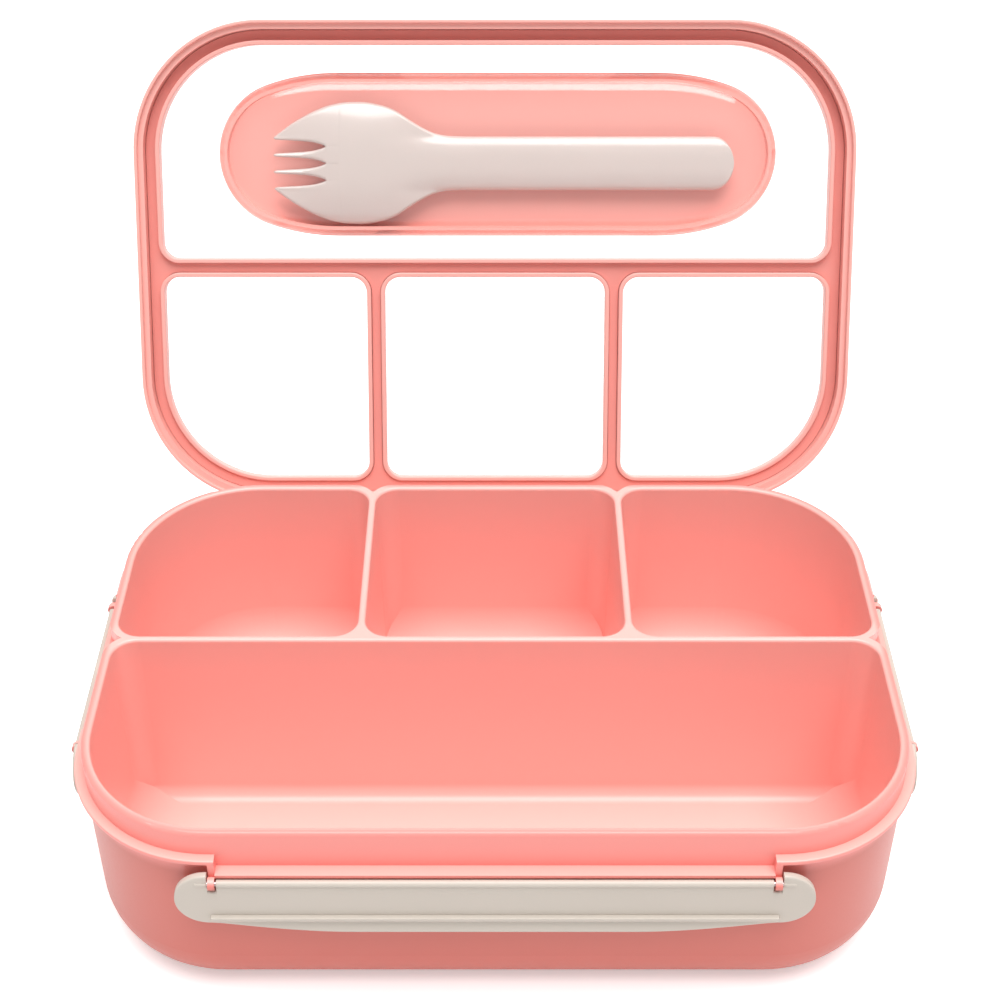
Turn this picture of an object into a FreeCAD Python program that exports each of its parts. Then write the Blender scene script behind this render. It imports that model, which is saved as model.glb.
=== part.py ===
import FreeCAD, Part
import Sketcher
import math
import os
import re

# A bento lunch box: a tub with four compartments, swing latches on four sides and a see-through lid
# with a cutlery pocket. Origin at the middle of the tub's underside, +Z up, the front towards -Y.
# The lid is drawn closed and then turned open about the back latch's pins, which are its hinge.

driving_sizes = {
    # lid and rim, seen from above
    "lid_length": 212.0,
    "lid_depth": 142.4,
    "lid_corner": 38.0,
    "rim_inset": 3.0,
    # tub
    "box_height": 60.5,
    "wall": 2.3,
    "floor_thick": 3.0,
    "tub_swell": 0.3,
    "outer_draft": 0.5,
    "inner_draft": 1.0,
    "base_round": 16.0,
    "hollow_round": 12.5,
    "cell_round": 4.0,
    "cell_corner": 6.5,
    "lip_round": 0.9,
    "divider_wall": 2.0,
    "divider_x": 35.7,
    "divider_y": 0.5,
    "valley_depth": 4.5,
    "flange_drop": 7.1,
    "flange_thick": 1.4,
    "flange_inset": 0.5,
    "flange_round": 0.5,
    "shelf_drop": 11.0,
    "shelf_reach": 0.2,
    "barrel_clearance": 0.2,
    # latches and their pins
    "pivot_drop": 13.0,
    "plate_gap": 0.4,
    "plate_thick": 2.0,
    "plate_face": 0.5,
    "ear_rise": 2.8,
    "plate_drop": 13.9,
    "plate_bulge": 2.7,
    "plate_end_round": 7.9,
    "plate_edge_round": 0.6,
    "barrel_radius": 1.1,
    "rib_reach": 1.3,
    "rib_clearance": 0.15,
    "rib_height": 1.2,
    "rib_foot": 2.4,
    "rib_margin": 0.5,
    "lug_radius": 1.6,
    "lug_thick": 1.6,
    "lug_gap": 0.3,
    "lug_slope": 2.0,
    "lug_root": 1.1,
    "notch_clearance": 1.0,
    "ear_barrel": 3.5,
    "bulge_length": 130.0,
    "short_bulge_length": 50.0,
    "long_lug_span": 132.8,
    "long_latch_length": 153.0,
    "short_lug_span": 52.8,
    "short_latch_length": 76.0,
    "pin_radius": 0.6,
    "pin_clearance": 0.03,
    "pin_grip": 3.0,
    "pin_end_clearance": 0.2,
    # lid frame, seal and window, closed
    "lid_open": 115.8,
    "lip_drop": 5.0,
    "inner_lip_front": 2.4,
    "inner_lip_back": 0.5,
    "skirt_thick": 1.0,
    "lip_thick": 1.3,
    "lip_edge_round": 0.35,
    "rim_clearance": 0.4,
    "ledge_drop": 2.6,
    "web_thick": 1.1,
    "seal_gap": 0.3,
    "seal_thick": 1.2,
    "seal_clearance": 0.15,
    "window_thick": 1.6,
    # cutlery pocket, its cover and the spork
    "pill_length": 164.6,
    "pill_depth": 46.5,
    "pill_flat": 95.4,
    "pill_shoulder": 62.0,
    "pill_x": 0.8,
    "pill_y": -32.6,
    "pocket_depth": 8.0,
    "pocket_wall": 1.2,
    "pocket_round": 3.5,
    "cover_thick": 1.4,
    "cover_overlap": 0.6,
    "cover_clearance": 0.2,
    "skirt_wall": 1.0,
    "skirt_length": 4.6,
    "grip_length": 26.0,
    "grip_width": 3.0,
    "grip_height": 1.0,
    "grip_inset": 4.0,
    "spork_length": 136.0,
    "spork_x": 2.6,
    "spork_y": 2.4,
    "spork_thick": 2.2,
    "spork_clearance": 0.5,
    "tip_width": 15.4,
    "bowl_width": 35.8,
    "bowl_length": 46.0,
    "bowl_sink": 3.0,
    "handle_width": 15.6,
    "neck_length": 12.0,
    "handle_round": 6.0,
    "tine_length": 15.5,
    "tine_slot": 4.2,
    "tine_root": 0.8,
    "tine_pitch": 4.9,
}

doc = FreeCAD.newDocument("bento_lunch_box")
sheet = doc.addObject("Spreadsheet::Sheet", "Sizes")
for row, (alias, value) in enumerate(driving_sizes.items(), 1):
    sheet.set(f"A{row}", alias)
    sheet.set(f"B{row}", str(value))
    sheet.setAlias(f"B{row}", alias)
doc.recompute()


def bound(text):
    """The expression with every alias pointed at the sheet."""
    return re.sub(r"[a-z]+(?:_[a-z]+)+|\bwall\b", r"Sizes.\g<0>", text)


def number(text):
    """The expression's value, for a sketch's first guess."""
    return float(sheet.evalExpression(bound(text)))


# Expressions that several pieces share
rim_x = "(lid_length / 2 - rim_inset)"
rim_y = "(lid_depth / 2 - rim_inset)"
cell_x = f"({rim_x} - wall)"
cell_y = f"({rim_y} - wall)"
rim_corner = "(lid_corner - rim_inset)"
tub_top = "(box_height - flange_drop - flange_thick)"
pivot_out = "(plate_gap + plate_face)"
pivot_x = f"(lid_length / 2 + {pivot_out})"
pivot_y = f"(lid_depth / 2 + {pivot_out})"
pivot_z = "(box_height - pivot_drop)"
bore_radius = "(pin_radius + pin_clearance)"
ceiling_z = "(box_height + seal_gap + seal_thick)"
crown_z = f"({ceiling_z} + web_thick)"
window_z = f"({crown_z} + window_thick)"
pocket_z = f"({crown_z} - pocket_depth)"
middle_lip_z = "(box_height - (inner_lip_front + inner_lip_back) / 2)"
flange_x = "(lid_length / 2 - flange_inset)"
flange_y = "(lid_depth / 2 - flange_inset)"
flange_corner = "(lid_corner - flange_inset)"
shelf_x = "(lid_length / 2 + shelf_reach)"
shelf_y = "(lid_depth / 2 + shelf_reach)"


def new_body(label):
    body = doc.addObject("PartDesign::Body", label)
    body.Label = label
    return body


def place(body, x, y, z, yaw, roll):
    """Turn the body about X by roll, then about Z by yaw, and move it."""
    body.setExpression("Placement", f"create(<<placement>>; create(<<vector>>; {bound(x)}; {bound(y)};"
                       f" {bound(z)}); create(<<rotation>>; {bound(yaw)}; 0; {bound(roll)}))")


def place_on_lid(body):
    """Turn a piece drawn on the closed lid open about the back pivot."""
    turn = "lid_open * 1 deg"
    y = f"{pivot_y} - ({pivot_y} * cos({turn}) + {pivot_z} * sin({turn}))"
    z = f"{pivot_z} - ({pivot_z} * cos({turn}) - {pivot_y} * sin({turn}))"
    place(body, "0", y, z, "0", "-lid_open")


def new_sketch(body, name, plane, offset="0"):
    sketch = body.newObject("Sketcher::SketchObject", name)
    origin_plane = [item for item in body.Origin.OriginFeatures if item.Role == plane][0]
    sketch.AttachmentSupport = [(origin_plane, "")]
    sketch.MapMode = "FlatFace"
    sketch.setExpression("AttachmentOffset.Base.z", bound(offset))
    return sketch


def dimension(sketch, kind, where, text):
    """Add one sketch dimension and bind it to the sheet."""
    index = sketch.addConstraint(Sketcher.Constraint(kind, *where, number(text)))
    sketch.setExpression(f"Constraints[{index}]", bound(text))


def pin_point(sketch, item, point, x, y):
    dimension(sketch, "DistanceX", (-1, 1, item, point), x)
    dimension(sketch, "DistanceY", (-1, 1, item, point), y)


def rounded_loop(sketch, west, east, south, north, radii):
    """A rectangle with rounded corners; radii run anticlockwise from the south-west corner."""
    w, e, s, n = (number(side) for side in (west, east, south, north))
    rs = [number(radius) for radius in radii]
    ends = [((w + rs[0], s), (e - rs[1], s)), ((e, s + rs[1]), (e, n - rs[2])),
            ((e - rs[2], n), (w + rs[3], n)), ((w, n - rs[3]), (w, s + rs[0]))]
    centres = [(e - rs[1], s + rs[1]), (e - rs[2], n - rs[2]),
               (w + rs[3], n - rs[3]), (w + rs[0], s + rs[0])]
    up = FreeCAD.Vector(0, 0, 1)
    sides = []
    turns = []
    for k in range(4):
        start, end = (FreeCAD.Vector(*point, 0) for point in ends[k])
        sides.append(sketch.addGeometry(Part.LineSegment(start, end)))
        circle = Part.Circle(FreeCAD.Vector(*centres[k], 0), up, rs[(k + 1) % 4])
        first = math.radians(90 * k - 90)
        turns.append(sketch.addGeometry(Part.ArcOfCircle(circle, first, first + math.pi / 2)))
    for k in range(4):
        sketch.addConstraint(Sketcher.Constraint("Tangent", sides[k], 2, turns[k], 1))
        sketch.addConstraint(Sketcher.Constraint("Tangent", turns[k], 2, sides[(k + 1) % 4], 1))
        sketch.addConstraint(Sketcher.Constraint(("Horizontal", "Vertical")[k % 2], sides[k]))
        dimension(sketch, "Radius", (turns[k],), radii[(k + 1) % 4])
    dimension(sketch, "DistanceY", (-1, 1, sides[0], 1), south)
    dimension(sketch, "DistanceX", (-1, 1, sides[1], 1), east)
    dimension(sketch, "DistanceY", (-1, 1, sides[2], 1), north)
    dimension(sketch, "DistanceX", (-1, 1, sides[3], 1), west)


def plan_loop(sketch, half_x, half_y, radius, middle_y="0"):
    rounded_loop(sketch, f"-{half_x}", half_x, f"{middle_y} - {half_y}", f"{middle_y} + {half_y}",
                 [radius] * 4)


def polygon(sketch, points):
    """A closed outline of straight sides, every corner bound to the sheet."""
    corners = [FreeCAD.Vector(number(x), number(y), 0) for x, y in points]
    count = len(corners)
    lines = [sketch.addGeometry(Part.LineSegment(corners[k], corners[(k + 1) % count]))
             for k in range(count)]
    for k in range(count):
        sketch.addConstraint(Sketcher.Constraint("Coincident", lines[k - 1], 2, lines[k], 1))
        pin_point(sketch, lines[k], 1, *points[k])


def circle(sketch, x, y, radius):
    ring = sketch.addGeometry(Part.Circle(FreeCAD.Vector(number(x), number(y), 0),
                                          FreeCAD.Vector(0, 0, 1), number(radius)))
    pin_point(sketch, ring, 3, x, y)
    dimension(sketch, "Radius", (ring,), radius)


def feature(body, kind, name, sketch, length, reverse=False, both_ways=False, taper="0"):
    item = body.newObject(f"PartDesign::{kind}", name)
    item.Profile = sketch
    item.setExpression("Length", bound(length))
    item.Reversed = reverse
    if both_ways:
        item.SideType = "Symmetric"
    if taper != "0":
        item.setExpression("TaperAngle", bound(taper))
    sketch.Visibility = False
    doc.recompute()
    return item


def mirrored(body, name, originals, plane):
    item = body.newObject("PartDesign::Mirrored", name)
    item.Originals = originals
    item.MirrorPlane = ([part for part in body.Origin.OriginFeatures if part.Role == plane][0], [""])
    body.Tip = item
    doc.recompute()
    return item


def fillet(body, name, radius, chosen):
    """Round every edge of the body so far that the test picks."""
    base = body.Tip
    names = [f"Edge{k}" for k, edge in enumerate(base.Shape.Edges, 1) if chosen(edge)]
    item = body.newObject("PartDesign::Fillet", name)
    item.Base = (base, names)
    item.setExpression("Radius", bound(radius))
    doc.recompute()
    return item


def lies_at(z):
    """A test for edges that lie flat at one height."""
    def test(edge):
        box = edge.BoundBox
        return abs(box.ZMin - z) < 1e-4 and abs(box.ZMax - z) < 1e-4
    return test


def on_flange_edge(edge):
    """A test for the flange's outer edges, above and below."""
    point = edge.valueAt((edge.FirstParameter + edge.LastParameter) / 2)
    corner = number(flange_corner)
    reach_x = abs(point.x) - number(flange_x) + corner
    reach_y = abs(point.y) - number(flange_y) + corner
    out = math.hypot(max(reach_x, 0), max(reach_y, 0)) + min(max(reach_x, reach_y), 0) - corner
    level = edge.BoundBox.ZLength < 1e-4
    heights = (number(tub_top), number(f"{tub_top} + flange_thick"))
    return level and abs(out) < 1e-3 and min(abs(point.z - z) for z in heights) < 1e-4


def cell_outlines(inset):
    """The four compartments seen from above, each side moved in by inset."""
    half = "divider_wall / 2"
    outer = f"{rim_corner} - wall - {inset}"
    inner = f"cell_corner - {inset}"
    west = f"-{cell_x} + {inset}"
    east = f"{cell_x} - {inset}"
    back_from = f"divider_y + {half} + {inset}"
    back_to = f"{cell_y} - {inset}"
    between = f"divider_x + {half} + {inset}"
    middle = f"divider_x - {half} - {inset}"
    front_from = f"-{cell_y} + {inset}"
    front_to = f"divider_y - {half} - {inset}"
    return {
        "Front": (west, east, front_from, front_to, [outer, outer, inner, inner]),
        "BackLeft": (west, f"-({between})", back_from, back_to, [inner, inner, inner, outer]),
        "BackMiddle": (f"-({middle})", middle, back_from, back_to, [inner] * 4),
        "BackRight": (between, east, back_from, back_to, [inner, inner, outer, inner]),
    }


def valley_outline(sketch, x, y, along_x):
    """A notch in the rim where a divider's end meets it: two arcs round the cells' corners."""
    reach = "(cell_corner + wall)"
    rise = "(cell_corner + divider_wall / 2)"
    radius = number(reach)
    half_width = number(rise)
    depth = radius - math.sqrt(radius ** 2 - half_width ** 2)
    x0, y0 = number(x), number(y)

    def turned(u, v):
        return FreeCAD.Vector(x0 + u, y0 + v, 0) if along_x else FreeCAD.Vector(x0 - v, y0 + u, 0)

    sway = math.copysign(1, x0) if along_x else 1
    tip = turned(-sway * radius + sway * (radius - depth), 0)
    mouth = [turned(0, -half_width), turned(0, half_width)]
    mids = []
    for side in (-1, 1):
        angle = (math.pi / 2 - math.asin((radius - depth) / radius)) / 2
        mids.append(turned(-sway * radius * (1 - math.cos(angle)),
                           side * (half_width - radius * math.sin(angle))))
    outer = [turned(sway, -half_width), turned(sway, half_width)]
    sketch.addGeometry([Part.Arc(mouth[0], mids[0], tip), Part.Arc(tip, mids[1], mouth[1]),
                        Part.LineSegment(mouth[1], outer[1]), Part.LineSegment(outer[1], outer[0]),
                        Part.LineSegment(outer[0], mouth[0])])


# Each side of the box: turn about Z, pivot position, lug span, latch length and finger lip length
latch_sides = {
    "front": ("0", "0", f"-{pivot_y}", "long_lug_span", "long_latch_length", "bulge_length"),
    "back": ("180", "0", pivot_y, "long_lug_span", "long_latch_length", "bulge_length"),
    "left": ("-90", f"-{pivot_x}", "0", "short_lug_span", "short_latch_length", "short_bulge_length"),
    "right": ("90", pivot_x, "0", "short_lug_span", "short_latch_length", "short_bulge_length"),
}


def box_corners(west, east, south, north):
    return [(west, south), (east, south), (east, north), (west, north)]


def tub_hollow(name):
    """The tub's inside as one space, with the wide bottom round that follows the outside."""
    hollow = new_body(f"{name}TubInside")
    sketch = new_sketch(hollow, f"{name}TubInsideOutline", "XY_Plane", "box_height")
    plan_loop(sketch, cell_x, cell_y, f"{rim_corner} - wall")
    feature(hollow, "Pad", f"{name}TubSpace", sketch, "box_height - floor_thick", reverse=True,
            taper="-inner_draft")
    fillet(hollow, f"{name}TubFloor", "hollow_round", lies_at(number("floor_thick")))
    return hollow


def make_box():
    body = new_body("box_body")

    sketch = new_sketch(body, "TubOutline", "XY_Plane", tub_top)
    plan_loop(sketch, f"({rim_x} + tub_swell)", f"({rim_y} + tub_swell)", f"{rim_corner} + tub_swell")
    feature(body, "Pad", "Tub", sketch, tub_top, reverse=True, taper="-outer_draft")
    fillet(body, "BaseRound", "base_round", lies_at(0))

    sketch = new_sketch(body, "CollarOutline", "XY_Plane", tub_top)
    plan_loop(sketch, rim_x, rim_y, rim_corner)
    feature(body, "Pad", "Collar", sketch, "flange_drop + flange_thick")

    hollows = []
    for name, outline in cell_outlines("0").items():
        hollow = new_body(f"{name}Hollow")
        sketch = new_sketch(hollow, f"{name}Outline", "XY_Plane", "box_height")
        rounded_loop(sketch, *outline)
        feature(hollow, "Pad", f"{name}Space", sketch, "box_height - floor_thick", reverse=True,
                taper="-inner_draft")
        fillet(hollow, f"{name}Floor", "cell_round", lies_at(number("floor_thick")))
        inside = hollow.newObject("PartDesign::Boolean", f"{name}Inside")
        inside.Type = "Common"
        inside.setObjects([tub_hollow(name)])
        hollows.append(hollow)
    cut = body.newObject("PartDesign::Boolean", "Cells")
    cut.Type = "Cut"
    cut.setObjects(hollows)
    doc.recompute()

    fillet(body, "LipRound", "lip_round", lies_at(number("box_height")))

    sketch = new_sketch(body, "ValleyOutlines", "XY_Plane", "box_height")
    valley_outline(sketch, rim_x, "divider_y", True)
    valley_outline(sketch, f"-{rim_x}", "divider_y", True)
    valley_outline(sketch, "divider_x", rim_y, False)
    valley_outline(sketch, "-divider_x", rim_y, False)
    feature(body, "Pocket", "Valleys", sketch, "valley_depth")

    sketch = new_sketch(body, "FlangeOutline", "XY_Plane", tub_top)
    plan_loop(sketch, flange_x, flange_y, flange_corner)
    plan_loop(sketch, f"({rim_x} - lip_round)", f"({rim_y} - lip_round)", f"{rim_corner} - lip_round")
    feature(body, "Pad", "Flange", sketch, "flange_thick")
    fillet(body, "FlangeRound", "flange_round", on_flange_edge)

    # Between the lugs the flange gives way to a lower shelf that covers the latch's barrel
    sketch = new_sketch(body, "RecessOutlines", "XY_Plane", f"{tub_top} + flange_thick")
    for sign in ("", "-"):
        polygon(sketch, box_corners("-long_lug_span / 2", "long_lug_span / 2",
                                    f"{sign}{rim_y}", f"{sign}lid_depth"))
        polygon(sketch, box_corners(f"{sign}{rim_x}", f"{sign}lid_length",
                                    "-short_lug_span / 2", "short_lug_span / 2"))
    feature(body, "Pocket", "LatchRecesses", sketch, "shelf_drop - flange_drop")

    sketch = new_sketch(body, "ShelfOutlines", "XY_Plane", "box_height - shelf_drop")
    for sign in ("", "-"):
        near_y = f"{sign}({rim_y} - lip_round)"
        near_x = f"{sign}({rim_x} - lip_round)"
        polygon(sketch, box_corners("-long_lug_span / 2", "long_lug_span / 2",
                                    near_y, f"{sign}{shelf_y}"))
        polygon(sketch, box_corners(near_x, f"{sign}{shelf_x}",
                                    "-short_lug_span / 2", "short_lug_span / 2"))
    feature(body, "Pad", "Shelves", sketch, "pivot_drop - shelf_drop", reverse=True)

    add_lugs(body, "Long", "YZ_Plane", rim_y, flange_y, pivot_y, "long_lug_span", "lid_length")
    add_lugs(body, "Short", "XZ_Plane", rim_x, flange_x, pivot_x, "short_lug_span", "lid_depth")
    return body


def add_lugs(body, name, plane, rim, edge, pivot, span, bore_length):
    """Two facing pairs of lugs under the flange, each bored for a latch pin."""
    root = f"({rim} - lug_root)"
    under = f"({tub_top} + flange_thick / 2)"
    troughs = new_sketch(body, f"{name}BarrelTroughs", plane)
    for sign in ("", "-"):
        circle(troughs, f"{sign}{pivot}", pivot_z, "barrel_radius + barrel_clearance")
    feature(body, "Pocket", f"{name}Troughs", troughs, span, both_ways=True)
    webs = new_sketch(body, f"{name}LugWebs", plane, f"{span} / 2")
    bosses = new_sketch(body, f"{name}LugBosses", plane, f"{span} / 2")
    bores = new_sketch(body, f"{name}LugBores", plane)
    for sign in ("", "-"):
        polygon(webs, [(f"{sign}{root}", under), (f"{sign}({edge})", under), (f"{sign}({edge})", pivot_z),
                       (f"{sign}{pivot}", f"{pivot_z} - lug_radius"),
                       (f"{sign}{root}", f"{pivot_z} - lug_radius - lug_slope")])
        circle(bosses, f"{sign}{pivot}", pivot_z, "lug_radius")
        circle(bores, f"{sign}{pivot}", pivot_z, bore_radius)
    pads = [feature(body, "Pad", f"{name}Webs", webs, "lug_thick"),
            feature(body, "Pad", f"{name}Bosses", bosses, "lug_thick")]
    mirrored(body, f"{name}LugPairs", pads, plane)
    feature(body, "Pocket", f"{name}PinBores", bores, bore_length, both_ways=True)


def make_latch(label, span, length, bulge):
    """A swing latch drawn hanging from its pins: axis along X, outside towards -Y."""
    body = new_body(label)
    sketch = new_sketch(body, "PlateOutline", "XZ_Plane", "plate_face")
    rounded_loop(sketch, f"-{length} / 2", f"{length} / 2", "-plate_drop", "ear_rise",
                 ["plate_end_round"] * 4)
    feature(body, "Pad", "Plate", sketch, "plate_thick", reverse=True)

    sketch = new_sketch(body, "FingerLipOutline", "XZ_Plane", "plate_face")
    finger_lip(sketch, bulge)
    feature(body, "Pad", "FingerLip", sketch, "plate_thick", reverse=True)
    fillet(body, "PlateEdges", "plate_edge_round", lambda edge: edge.BoundBox.YLength < 1e-4)

    # Between the lugs the plate ends at the barrel; beyond them it rises as an ear
    sketch = new_sketch(body, "BarrelGapOutline", "XZ_Plane")
    polygon(sketch, box_corners(f"-{span} / 2", f"{span} / 2", "0", "2 * ear_rise"))
    feature(body, "Pocket", "BarrelGap", sketch, "4 * plate_thick", both_ways=True)

    sketch = new_sketch(body, "BarrelOutline", "YZ_Plane")
    circle(sketch, "0", "0", "barrel_radius")
    feature(body, "Pad", "Barrel", sketch, f"{span} - 2 * lug_gap", both_ways=True)

    ear_from = f"{span} / 2 + lug_thick + lug_gap"
    sketch = new_sketch(body, "EarBarrelOutline", "YZ_Plane", ear_from)
    circle(sketch, "0", "0", "barrel_radius")
    ear = feature(body, "Pad", "EarBarrel", sketch, "ear_barrel")
    mirrored(body, "EarBarrels", [ear], "YZ_Plane")

    sketch = new_sketch(body, "NotchOutline", "XZ_Plane")
    top = "2 * ear_rise"
    bottom = "-lug_radius - notch_clearance"
    polygon(sketch, box_corners(f"{span} / 2 - lug_gap", ear_from, bottom, top))
    notch = feature(body, "Pocket", "Notch", sketch, "4 * plate_thick", both_ways=True)
    mirrored(body, "Notches", [notch], "YZ_Plane")

    sketch = new_sketch(body, "BoreOutline", "YZ_Plane", f"{span} / 2 - lug_gap - pin_grip")
    circle(sketch, "0", "0", bore_radius)
    bore = feature(body, "Pocket", "Bore", sketch, "lug_thick + 2 * lug_gap + 2 * pin_grip", reverse=True)
    mirrored(body, "Bores", [bore], "YZ_Plane")

    sketch = new_sketch(body, "HookRibOutline", "YZ_Plane")
    face = "-plate_face"
    hook = "-(pivot_drop - ledge_drop + rib_clearance)"
    polygon(sketch, [("0", hook), (f"{face} - rib_reach", hook),
                     (f"{face} - rib_reach", f"{hook} - rib_height"), ("0", f"{hook} - rib_foot")])
    feature(body, "Pad", "HookRib", sketch, f"{span} - 2 * rib_margin", both_ways=True)
    return body


def finger_lip(sketch, bulge):
    """A shallow bow below the plate's lower edge, for a fingertip."""
    root = "-plate_drop / 2 - plate_end_round / 2"
    foot = "-plate_drop - plate_bulge"
    half = f"{bulge} / 2"
    sag = "(plate_drop / 2 + plate_bulge - plate_end_round / 2)"
    west = FreeCAD.Vector(-number(half), number(root), 0)
    east = FreeCAD.Vector(number(half), number(root), 0)
    middle = FreeCAD.Vector(0, number(foot), 0)
    bow = sketch.addGeometry(Part.Arc(west, middle, east))
    chord = sketch.addGeometry(Part.LineSegment(east, west))
    sketch.addConstraint(Sketcher.Constraint("Coincident", bow, 2, chord, 1))
    sketch.addConstraint(Sketcher.Constraint("Coincident", bow, 1, chord, 2))
    pin_point(sketch, chord, 1, half, root)
    pin_point(sketch, chord, 2, f"-{half}", root)
    dimension(sketch, "Radius", (bow,), f"(({half}) ^ 2 + {sag} ^ 2) / (2 * {sag})")


def make_pins(side, yaw, x, y, span):
    """The two pins that a latch swings on, one through each lug."""
    start = f"{span} / 2 - lug_gap - pin_grip + pin_end_clearance"
    length = "lug_thick + 2 * lug_gap + 2 * pin_grip - 2 * pin_end_clearance"
    along_x = yaw in ("0", "180")
    pins = []
    for name, begin in (("First", start), ("Second", f"-({start}) - ({length})")):
        pin = doc.addObject("Part::Cylinder", f"{side}Pin{name}")
        pin.setExpression("Radius", bound("pin_radius"))
        pin.setExpression("Height", bound(length))
        if along_x:
            place(pin, begin, y, pivot_z, "-90", "-90")
        else:
            place(pin, x, begin, pivot_z, "0", "-90")
        pins.append(pin)
    pair = doc.addObject("Part::Compound", f"{side}_latch_pins")
    pair.Label = f"{side}_latch_pins"
    pair.Links = pins
    return pair


def on_lip_edge(edge):
    """A test for the lower edges of the lid frame's lips, which a rim meets first."""
    ends = [edge.valueAt(edge.FirstParameter), edge.valueAt(edge.LastParameter),
            edge.valueAt((edge.FirstParameter + edge.LastParameter) / 2)]
    slope = number("inner_lip_front - inner_lip_back") / (2 * number(cell_y))
    inner = all(abs(point.z - number(middle_lip_z) - slope * point.y) < 1e-3 for point in ends)
    outer = all(abs(point.z - number("box_height - lip_drop")) < 1e-3 for point in ends)
    return inner or outer


def make_lid_frame():
    """The lid's ring and bars: a channel over the rim and dividers, with a ledge for the latches."""
    body = new_body("lid_frame")
    lip_z = "box_height - lip_drop"
    sketch = new_sketch(body, "SkirtOutline", "XY_Plane", lip_z)
    plan_loop(sketch, "(lid_length / 2)", "(lid_depth / 2)", "lid_corner")
    feature(body, "Pad", "Skirt", sketch, "lip_drop - ledge_drop")

    sketch = new_sketch(body, "CrownOutline", "XY_Plane", lip_z)
    ring_loop(sketch, "(rim_clearance + web_thick)")
    feature(body, "Pad", "Crown", sketch, f"{crown_z} - ({lip_z})")

    sketch = new_sketch(body, "WindowOutlines", "XY_Plane", crown_z)
    for outline in cell_outlines("(rim_clearance + lip_thick)").values():
        rounded_loop(sketch, *outline)
    feature(body, "Pocket", "Windows", sketch, "2 * lip_drop + 2 * box_height")

    sketch = new_sketch(body, "MouthOutline", "XY_Plane", lip_z)
    plan_loop(sketch, "(lid_length / 2 - skirt_thick)", "(lid_depth / 2 - skirt_thick)",
              "lid_corner - skirt_thick")
    for outline in cell_outlines("rim_clearance").values():
        rounded_loop(sketch, *outline)
    feature(body, "Pocket", "Mouth", sketch, "lip_drop - ledge_drop - web_thick", reverse=True)

    sketch = new_sketch(body, "ChannelOutline", "XY_Plane", lip_z)
    ring_loop(sketch, "rim_clearance")
    for outline in cell_outlines("rim_clearance").values():
        rounded_loop(sketch, *outline)
    feature(body, "Pocket", "Channel", sketch, f"{ceiling_z} - ({lip_z})", reverse=True)

    # The inner lips get shallower towards the back, so that they clear the rim as the lid swings
    sketch = new_sketch(body, "LipTrimOutlines", "XY_Plane", "0")
    tilt = f"atan((inner_lip_front - inner_lip_back) / (2 * {cell_y}))"
    sketch.setExpression("AttachmentOffset", "create(<<placement>>; create(<<vector>>; 0; 0;"
                         f" {bound(middle_lip_z)}); create(<<rotation>>; 0; 0; {bound(tilt)}))")
    for outline in cell_outlines("(rim_clearance / 2)").values():
        rounded_loop(sketch, *outline)
    feature(body, "Pocket", "LipTrim", sketch, "lip_drop + box_height")
    fillet(body, "LipEdges", "lip_edge_round", on_lip_edge)
    place_on_lid(body)
    return body


def ring_loop(sketch, outset):
    """The rim's outer outline, moved out by outset."""
    plan_loop(sketch, f"({rim_x} + {outset})", f"({rim_y} + {outset})", f"{rim_corner} + {outset}")


def make_lid_seal():
    """The soft strip along the channel's ceiling that the rim and dividers press on."""
    body = new_body("lid_seal")
    sketch = new_sketch(body, "SealOutline", "XY_Plane", f"{ceiling_z} - seal_thick")
    ring_loop(sketch, "(rim_clearance - seal_clearance)")
    for outline in cell_outlines("(rim_clearance - seal_clearance)").values():
        rounded_loop(sketch, *outline)
    feature(body, "Pad", "Strip", sketch, "seal_thick")
    place_on_lid(body)
    return body


def pill_loop(sketch, inset):
    """An oval with flat sides, wide shoulders and rounder ends, moved in by inset."""
    half_x = f"(pill_length / 2 - {inset})"
    half_y = f"(pill_depth / 2 - {inset})"
    shoulder = f"(pill_shoulder - {inset})"
    flat = "(pill_flat / 2)"
    rest = f"({half_x} - {flat})"
    end = f"(({shoulder} ^ 2 - ({shoulder} - {half_y}) ^ 2 - {rest} ^ 2) / (2 * ({shoulder} - {rest})))"
    x0, y0 = number("pill_x"), number("pill_y")
    a, b, r, l, e = (number(text) for text in (half_x, half_y, shoulder, flat, end))
    lean = math.atan2(r - b, a - e - l)
    up = FreeCAD.Vector(0, 0, 1)

    def arc(x, y, radius, first, last):
        ring = Part.Circle(FreeCAD.Vector(x0 + x, y0 + y, 0), up, radius)
        return sketch.addGeometry(Part.ArcOfCircle(ring, first, last))

    def line(x, y):
        start = FreeCAD.Vector(x0 + x, y0 + y, 0)
        return sketch.addGeometry(Part.LineSegment(start, FreeCAD.Vector(x0 - x, y0 + y, 0)))

    quarter = math.pi / 2
    south = line(-l, -b)
    south_east = arc(l, r - b, r, -quarter, -lean)
    east = arc(a - e, 0, e, -lean, lean)
    north_east = arc(l, b - r, r, lean, quarter)
    north = line(l, b)
    north_west = arc(-l, b - r, r, quarter, 2 * quarter - lean)
    west = arc(e - a, 0, e, 2 * quarter - lean, 2 * quarter + lean)
    south_west = arc(-l, r - b, r, 2 * quarter + lean, 3 * quarter)
    loop = [south, south_east, east, north_east, north, north_west, west, south_west]
    for k, item in enumerate(loop):
        sketch.addConstraint(Sketcher.Constraint("Tangent", item, 2, loop[(k + 1) % len(loop)], 1))
    for item, side, sign in ((south, "-", "-"), (north, "+", "")):
        pin_point(sketch, item, 1, f"pill_x + {sign}{flat}", f"pill_y {side} {half_y}")
        dimension(sketch, "DistanceX", (-1, 1, item, 2), f"pill_x - ({sign}{flat})")
        sketch.addConstraint(Sketcher.Constraint("Horizontal", item))
    for item in (south_east, north_east, north_west, south_west):
        dimension(sketch, "Radius", (item,), shoulder)
    for item in (east, west):
        dimension(sketch, "Radius", (item,), end)


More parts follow.
